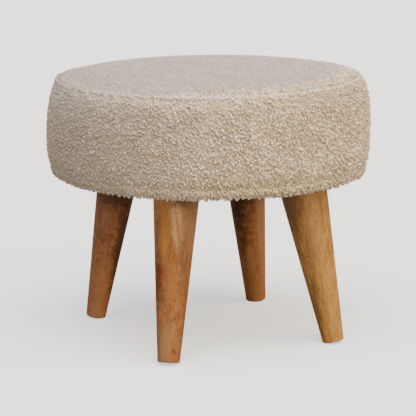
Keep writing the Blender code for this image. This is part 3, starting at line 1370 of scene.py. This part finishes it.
    def _on_seam(self) -> Stand:
        """Sets roots in rows along the seam, but not where it shows.

        Returns:
            Where the curls stand.
        """
        stands = []
        for out, up, slope in self.seam_rows:
            radius = SEAM.radius + out * MM
            count = int(2.0 * math.pi * radius / self.seam_pitch)
            shaken = self._random.uniform(-self.seam_shaken, self.seam_shaken, count)
            turn = 2.0 * np.pi * (np.arange(count) + shaken) / count
            around = np.stack([np.cos(turn), np.sin(turn), np.zeros(count)], 1)
            lift = np.outer(self._brow + (up - all_round(around, self.sunk)) * MM, (0.0, 0.0, 1.0))
            tilt = math.radians(slope)
            normals = around * math.cos(tilt) + np.array([0.0, 0.0, math.sin(tilt)])
            stands.append(Stand(around * radius + lift, normals))
        stand = Stand.joined(stands)
        return stand.part(SEAM.shows(stand.roots) < 0.5)

    def _outline(self, middle: float) -> tuple[np.ndarray, np.ndarray, np.ndarray]:
        """Follows the band's outer face from the seam to where the pile ends under the seat.

        Args:
            middle: the height of the ring inside the seat that the rays look towards.

        Returns:
            For each step, the slope it is seen at, its radius and how far down the face it is.
        """
        first, last = [math.radians(slope) for slope in self.slopes]
        slopes = np.linspace(first, last, self.steps)
        line = [self._round(self.line_at, slope, middle) for slope in slopes]
        seen = [(slope, hit[0]) for slope, hit in zip(slopes, line) if hit[0] is not None]
        slopes = np.array([slope for slope, _ in seen])
        places = np.array([place for _, place in seen])
        radius = np.hypot(places[:, 0], places[:, 1])
        below_seam = (places[:, 2] < middle) | (radius > SEAM.radius)
        kept = below_seam & (radius > self._widest - self.hem_reach)
        steps = np.linalg.norm(np.diff(places[kept], axis=0), axis=1)
        return slopes[kept], radius[kept], np.concatenate([[0.0], np.cumsum(steps)])

    def _on_band(self) -> Stand:
        """Sets roots on the band, in rows round it from the seam to the hem.

        Returns:
            Where the curls stand.
        """
        middle = 0.5 * (self._foot + self._brow)
        slopes, radius, length = self._outline(middle)
        row = self.side_pitch * self.row_share
        along_by, across_by = self.side_shaken
        hits = []
        for index, where in enumerate(np.arange(self.first_row * row, length[-1], row)):
            around = 2.0 * math.pi * float(np.interp(where, length, radius))
            columns = int(around / self.side_pitch)
            turns = (np.arange(columns) + 0.5 * (index % 2)) / columns
            turns = turns + self._random.uniform(-along_by, along_by, columns) / columns
            wander = where + self._random.uniform(-across_by, across_by, columns) * row
            tilt = np.interp(np.clip(wander, 0.0, length[-1]), length, slopes)
            hits += [
                self._round(turn * 2.0 * math.pi, slope, middle)
                for turn, slope in zip(turns, tilt)
            ]
        stand = Stand.met(hits)
        clear = stand.out() > SEAM.radius + SEAM.below * SEAM.shows(stand.roots)
        return stand.part((stand.roots[:, 2] < middle) | clear)

    def _by_lay(self, stand: Stand) -> dict[Lay, Stand]:
        """Sorts the band's roots by how the curls lie there.

        Args:
            stand: all of them.

        Returns:
            Those that fall down the side, those of the fringe, and those tucked under.
        """
        under = -stand.normals[:, 2]
        low = stand.roots[:, 2] - self._foot < self.fringe_height
        tucked = (under > self.tucked_slope) & (stand.out() < self._widest - self.tucked_in)
        fringe = ~tucked & (under > self.fringe_slope) & low
        return {
            Lay.FALLEN: stand.part(~tucked & ~fringe),
            Lay.FRINGE: stand.part(fringe),
            Lay.TUCKED: stand.part(tucked),
        }

    def _round(self, azimuth: float, slope: float, middle: float) -> Hit:
        """Meets the band from outside, looking at the ring inside the seat.

        Args:
            azimuth: how far round, in radians.
            slope: how steeply down it looks, in radians, or up where that is negative.
            middle: the ring's height.

        Returns:
            What the ray meets.
        """
        out = Vector((math.cos(azimuth), math.sin(azimuth), 0.0))
        way = out * math.cos(slope) + Vector((0.0, 0.0, math.sin(slope)))
        start = out * self.spine_radius + Vector((0.0, 0.0, middle)) + way * self.spine_view
        return self._band.ray_cast(start, -way)

    def _margin(self, places: np.ndarray) -> np.ndarray:
        """Finds where the pile is open on the panel.

        Args:
            places: points, one a row.

        Returns:
            0 where it is pressed flat, else up to 1.
        """
        inward = SEAM.radius - np.hypot(places[:, 0], places[:, 1])
        turn = azimuths(places)
        first, last = self.margin_from
        starts = np.clip((turn - first) / self.margin_fade, 0.0, 1.0)
        width = self.margin * starts * np.clip((last - turn) / self.margin_fade, 0.0, 1.0)
        ragged = width + self.margin_ragged * drift(places * 3.0, 4.0)
        return np.clip((ragged - inward) / self.margin_soft + 0.5, 0.0, 1.0) * (width > 0.0)

    def _calm(self, places: np.ndarray) -> np.ndarray:
        """Returns: how close the pile lies below the seam at the left, where it is smoothed down
        and gets painted light.
        """
        rise = np.clip((places[:, 2] - self._foot - self.calm_from) / self.calm_over, 0.0, 1.0)
        return rise * hump(places, self.calm_middle, self.calm_half)

    def _cool_light(self, places: np.ndarray) -> np.ndarray:
        """Finds the painted cool light: how grey the pile is, most on the panel and over its edge
        at the left.

        Args:
            places: points, one a row.

        Returns:
            The greyness, from 0 to 1.
        """
        radius = np.hypot(places[:, 0], places[:, 1])
        panel = (radius < SEAM.radius) & (places[:, 2] > self._brow - self.panel_drop)
        brow = self._brow - places[:, 2]
        always, near_top = self.cool_light_shares
        left = hump(places, self.cool_light_middle, self.cool_light_half)
        left = left * (always + near_top * np.exp(-(brow / self.cool_light_over) ** 2))
        # painted cool light just below the seam
        seam = all_round(places, self.seam_cool_light) * np.exp(-(brow / self.seam_cool_light_over) ** 2)
        return np.where(panel, 1.0 - self._margin(places), np.maximum(left, seam))

    def _grown(self, stands: dict[Lay, Stand], name: str) -> list[bpy.types.Object]:
        """Grows curls on every stand, and joins them into a few pieces, sector by sector.

        Args:
            stands: where curls stand, by how they lie.
            name: what the pieces' names start with.

        Returns:
            The pieces.
        """
        grown = [self._curls(stand, HABITS[lay]) for lay, stand in stands.items()]
        shape = np.concatenate([points for points, _ in grown])
        tone = np.concatenate([tones for _, tones in grown])
        place = np.concatenate([stand.roots for stand in stands.values()])
        # painted cool light
        cool_light = self._cool_light(place)
        order = np.argsort(np.arctan2(place[:, 1], place[:, 0]), kind="stable")
        sectors = -(-len(order) // self.most_in_piece)
        # painted shade at each curl's root
        depth = openness(place) * (1.0 - self.calm_deep * self._calm(place))
        return [
            self._piece(f"{name}_{number + 1}", shape[chosen], depth[chosen],
                        {"tone": tone[chosen], "cool_light": cool_light[chosen]})
            for number, chosen in enumerate(np.array_split(order, sectors))
        ]

    def _curls(self, stand: Stand, habit: Habit) -> tuple[np.ndarray, np.ndarray]:
        """Grows the curls of one stand.

        Args:
            stand: where they stand.
            habit: how they grow.

        Returns:
            Each curl's points, and each curl's tone.
        """
        count = len(stand.roots)
        leader = self._leaders(stand, habit)
        way = stand.roots[leader] - stand.roots
        edge = np.minimum(1.0, np.linalg.norm(way, axis=1) / (self.lock_core * habit.lock))
        calm = self._calm(stand.roots)
        down, steep = stand.downhill()
        on_side = steep > self.side_from
        axes = self._axes(stand, habit, down, steep)
        scale = self._random.uniform(*habit.scale, count) * (1.0 + 0.06 * drift(stand.roots, 2.0))
        scale *= 1.0 + self.lock_plump * habit.gather * (self.lock_even - edge)
        scale *= all_round(stand.roots, self.growth)
        kinds = np.stack([kind.shape() for kind in habit.kinds])
        chosen = self._random.integers(len(kinds), size=count)
        points = np.einsum("nvk,nkc->nvc", kinds[chosen] * scale[:, None, None], axes)
        points += way[:, None] * (habit.gather * Curl.along())[None, :, None]
        uneven = all_round(stand.roots, self.uneven) * (1.0 - self.calm_even * calm)
        swell = uneven * self._random.uniform(*self.swell, count)[leader]
        swell = swell * (self.swell_middle - edge ** 2)
        raised = stand.normals * (habit.mound * swell - habit.sink)[:, None]
        root = stand.roots + raised - axes[:, 0] * self.root_back
        # painted light and shade from the lightness tables
        change = self.lightness.change(stand.roots, self._foot, self._widest, on_side, calm)
        tone = self._random.normal(0.0, self.tone_spread, count)
        own, shared = self.tone_shares
        # painted shade between the locks, painted light in their middles
        tone = own * tone + shared * tone[leader] + self.valley * swell
        tone = self.tone_middle + change + tone + self.tone_drift * drift(stand.roots * 1.7, 3.0)
        return points + root[:, None], np.clip(tone, 0.0, 1.0)

    def _axes(
        self, stand: Stand, habit: Habit, down: np.ndarray, steep: np.ndarray,
    ) -> np.ndarray:
        """Turns and tips each curl its own way.

        Args:
            stand: where the curls stand.
            habit: how they grow.
            down: the way down the cloth at each root.
            steep: how steep it is there.

        Returns:
            The directions that each curl calls forward, left and up.
        """
        count = len(stand.roots)
        aside = np.cross(stand.normals, down)
        spread = self._random.uniform(-np.pi, np.pi, count)
        combed = np.sin(2.0 * (spread + math.radians(self.comb_turn)))
        spread -= self.comb * (steep > self.side_from) * combed
        strength = habit.fall * np.minimum(1.0, steep * self.steep_fall)
        heading = spread * (1.0 - strength) + 0.2 * drift(stand.roots, 1.0)
        forward = down * np.cos(heading)[:, None] + aside * np.sin(heading)[:, None]
        stem = unit(stand.normals * (1.0 - habit.droop) + np.array([0.0, 0.0, -habit.droop]))
        left = unit(np.cross(stem, forward))
        lean = np.radians(self._random.normal(0.0, habit.lean, count))[:, None]
        upward = stem * np.cos(lean) + left * np.sin(lean)
        left = unit(np.cross(upward, forward))
        return np.stack([np.cross(left, upward), left, upward], 1)

    def _leaders(self, stand: Stand, habit: Habit) -> np.ndarray:
        """Picks some curls to lead the locks.

        Args:
            stand: where the curls stand.
            habit: how they grow.

        Returns:
            Each curl's leader, the nearest one.
        """
        tree = KDTree(len(stand.roots))
        for number, place in enumerate(stand.roots):
            tree.insert(place, number)
        tree.balance()
        distance = np.full(len(stand.roots), np.inf)
        leader = np.zeros(len(stand.roots), int)
        for number in self._random.permutation(len(stand.roots)):
            if distance[number] < self.lock_core * habit.lock:
                continue
            reach = self.lock_reach * habit.lock
            for _, near, away_by in tree.find_range(stand.roots[number], reach):
                if away_by < distance[near]:
                    distance[near], leader[near] = away_by, number
        return leader

    @staticmethod
    def _piece(
        name: str, shape: np.ndarray, depth: np.ndarray, marks: dict[str, np.ndarray],
    ) -> bpy.types.Object:
        """Joins curls into one mesh, from arrays.

        Args:
            name: the piece's name.
            shape: each curl's points.
            depth: how much painted shade each curl has at its root.
            marks: one number for each curl, by the attribute's name.

        Returns:
            The piece.
        """
        count, size = shape.shape[:2]
        corners, sides = Curl.corners()
        corners = (corners[None] + (np.arange(count) * size)[:, None]).ravel()
        sides = np.tile(sides, count)
        mesh = bpy.data.meshes.new(name)
        mesh.vertices.add(count * size)
        mesh.vertices.foreach_set("co", shape.astype(np.float32).ravel())
        mesh.loops.add(len(corners))
        mesh.loops.foreach_set("vertex_index", corners.astype(np.int32))
        mesh.polygons.add(len(sides))
        mesh.polygons.foreach_set("loop_start", (np.cumsum(sides) - sides).astype(np.int32))
        mesh.polygons.foreach_set("use_smooth", np.ones(len(sides), bool))
        mesh.update(calc_edges=True)
        # darker towards the root, by the painted shade in the gaps
        mark(mesh, "along", (1.0 - depth[:, None] * (1.0 - Curl.along())).ravel())
        for key, values in marks.items():
            mark(mesh, key, np.repeat(values, size))
        item = bpy.data.objects.new(name, mesh)
        bpy.context.scene.collection.objects.link(item)
        return item


@dataclass
class TurnedLeg:
    """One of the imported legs, which keeps its shape and gets its own piece of wood."""

    node: bpy.types.Object
    wood: Wood
    foot_reach: float = 12.0 * MM     # points this near the floor are the foot's
    head_reach: float = 0.1 * MM      # and this near the top the head's

    def dress(self) -> None:
        """Lays the wood along the leg's own axis."""
        places = points_of(self.node.data)
        lowest, highest = places[:, 2].min(), places[:, 2].max()
        foot = Vector(places[places[:, 2] < lowest + self.foot_reach].mean(0))
        head = Vector(places[places[:, 2] > highest - self.head_reach].mean(0))
        axis = (head - foot).normalized()
        foot = foot - axis * ((foot.z - lowest) / axis.z)
        give(self.node, self.wood.material(foot, axis))


def give(node: bpy.types.Object, material: bpy.types.Material) -> None:
    """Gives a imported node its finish, in its own material slots.

    Args:
        node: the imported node.
        material: the finish.
    """
    if not node.material_slots:
        node.data.materials.append(material)
    for slot in node.material_slots:
        slot.material = material


WOODS: dict[str, Wood] = {
    "leg_front_right": Wood(
        "wood_front_right", colour(0.56, 0.290, 0.090), colour(0.36, 0.172, 0.043),
        # the last colour is the painted shadow of the seat at the top
        colour(0.18, 0.085, 0.025), colour(0.40, 0.22, 0.095),
        (
            # painted shadow of the seat at the top left, over darker wood
            Patch(-21.0, 190.0, 15.0, 50.0, colour(0.17, 0.092, 0.038), 0.85, 0.05),
            # painted highlight right of the middle
            Patch(5.0, 158.0, 9.0, 46.0, colour(0.60, 0.38, 0.17), 0.40, 0.05),
            Patch(-6.0, 125.0, 5.0, 40.0, colour(0.36, 0.22, 0.10), 0.50, 0.10),
            # painted shade down the left side
            Patch(-13.0, 50.0, 6.0, 60.0, colour(0.24, 0.118, 0.032), 0.72, 0.08),
            Patch(4.0, 45.0, 8.0, 35.0, colour(0.46, 0.245, 0.072), 0.45, 0.05),
        ),
        across_grain=0.6, seat_shading=0.5, streaky=1.5,
    ),
    "leg_front_left": Wood(
        "wood_front_left", colour(0.37, 0.155, 0.053), colour(0.23, 0.082, 0.022),
        # the last colour is painted light at the top, which makes up for the seat's shadow
        colour(0.12, 0.050, 0.018), colour(0.55, 0.27, 0.115),
        (
            # a paler stripe of the wood with a painted highlight on it
            Patch(2.0, 180.0, 8.0, 38.0, colour(0.86, 0.51, 0.28), 0.75, -0.10),
            Patch(20.0, 178.0, 10.0, 60.0, colour(0.37, 0.205, 0.112), 0.80, -0.14),
            # painted shadow of the seat at the top right
            Patch(12.0, 207.0, 20.0, 14.0, colour(0.18, 0.082, 0.034), 0.85),
            Patch(7.5, 150.0, 2.6, 60.0, colour(0.17, 0.085, 0.040), 0.50, -0.17),
            Patch(-12.0, 165.0, 7.0, 44.0, colour(0.58, 0.265, 0.050), 0.68, -0.02),
            Patch(-19.0, 104.0, 8.0, 34.0, colour(0.16, 0.036, 0.004), 0.90),
            Patch(-1.0, 112.0, 8.0, 34.0, colour(0.42, 0.165, 0.043), 0.55),
            Patch(13.0, 112.0, 4.0, 26.0, colour(0.20, 0.115, 0.060), 0.60, -0.10),
            Patch(-6.0, 26.0, 12.0, 34.0, colour(0.36, 0.215, 0.090), 0.65, 0.15),
            Patch(-16.0, 16.0, 5.0, 24.0, colour(0.18, 0.110, 0.045), 0.60, 0.15),
            Patch(6.0, 17.0, 2.2, 3.0, colour(0.11, 0.038, 0.012), 0.85, -0.5),
            Patch(4.0, 56.0, 2.0, 5.0, colour(0.14, 0.060, 0.022), 0.65, 0.9),
        ),
        across_grain=1.7, seat_shading=0.85, streaky=0.9,
    ),
    "leg_back_left": Wood(
        "wood_back_left", colour(0.49, 0.212, 0.100), colour(0.31, 0.122, 0.047),
        # the last colour is the painted shadow of the seat at the top
        colour(0.16, 0.060, 0.024), colour(0.055, 0.022, 0.009),
        (
            # painted shade down the right side
            Patch(19.0, 105.0, 10.0, 115.0, colour(0.085, 0.028, 0.009), 0.85),
            Patch(-6.0, 150.0, 8.0, 28.0, colour(0.42, 0.21, 0.115), 0.50),
            # painted shadow of the seat at the top
            Patch(0.0, 197.0, 30.0, 34.0, colour(0.06, 0.026, 0.010), 0.85),
            Patch(-13.0, 25.0, 4.0, 40.0, colour(0.34, 0.125, 0.042), 0.55),
            Patch(2.0, 50.0, 9.0, 40.0, colour(0.60, 0.265, 0.115), 0.50),
            Patch(-1.0, 10.0, 11.0, 16.0, colour(0.58, 0.29, 0.155), 0.50),
        ),
        across_grain=1.6, seat_shading=0.90,
    ),
    "leg_back_right": Wood(
        "wood_back_right", colour(0.47, 0.205, 0.085), colour(0.30, 0.118, 0.041),
        # the last colour is the painted shadow of the seat at the top
        colour(0.14, 0.050, 0.018), colour(0.09, 0.035, 0.011),
        (
            # painted shade on the left side, towards the top
            Patch(-19.0, 160.0, 17.0, 80.0, colour(0.085, 0.015, 0.001), 0.96, -0.04),
            Patch(-2.0, 62.0, 6.0, 30.0, colour(0.56, 0.30, 0.16), 0.50),
            # painted shadow of the seat at the top
            Patch(-4.0, 174.0, 26.0, 34.0, colour(0.070, 0.028, 0.006), 0.85),
            Patch(0.0, 12.0, 14.0, 26.0, colour(0.50, 0.26, 0.14), 0.45),
            # painted light down the right edge
            Patch(15.0, 110.0, 6.0, 90.0, colour(0.50, 0.27, 0.135), 0.50, 0.02),
        ),
        across_grain=2.0, seat_shading=0.95,
    ),
}


def main() -> None:
    """Builds and dresses the stool, piece by piece."""
    logging.basicConfig(level=logging.INFO, format="%(message)s")
    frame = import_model()
    packed = [list(corner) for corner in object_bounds()]
    nodes = frame["nodes"]
    middle = (Vector(packed[0]) + Vector(packed[1])) / 2.0
    Studio().build(middle)
    cloth = PileCloth().material()
    seat, side, pile = SeatPad(), SideBand(), CurlyPile()
    pad = seat.build(nodes["seat_pad"])
    band = side.build(nodes["side_band"])
    on_top, on_side = pile.build(pad, band)
    pile.dress(on_top + on_side, cloth)
    seat.dress(pad, cloth)
    side.dress(band, cloth, on_side)
    give(nodes["base_board"], PlainBoard().material())
    for name, wood in WOODS.items():
        TurnedLeg(nodes[name], wood).dress()
    for piece in (pad, band, *on_top, *on_side):
        faces = piece.data.polygons
        LOG.info("%s: %d triangles", piece.name, sum(len(f.vertices) - 2 for f in faces))


if __name__ == "__main__":
    main()
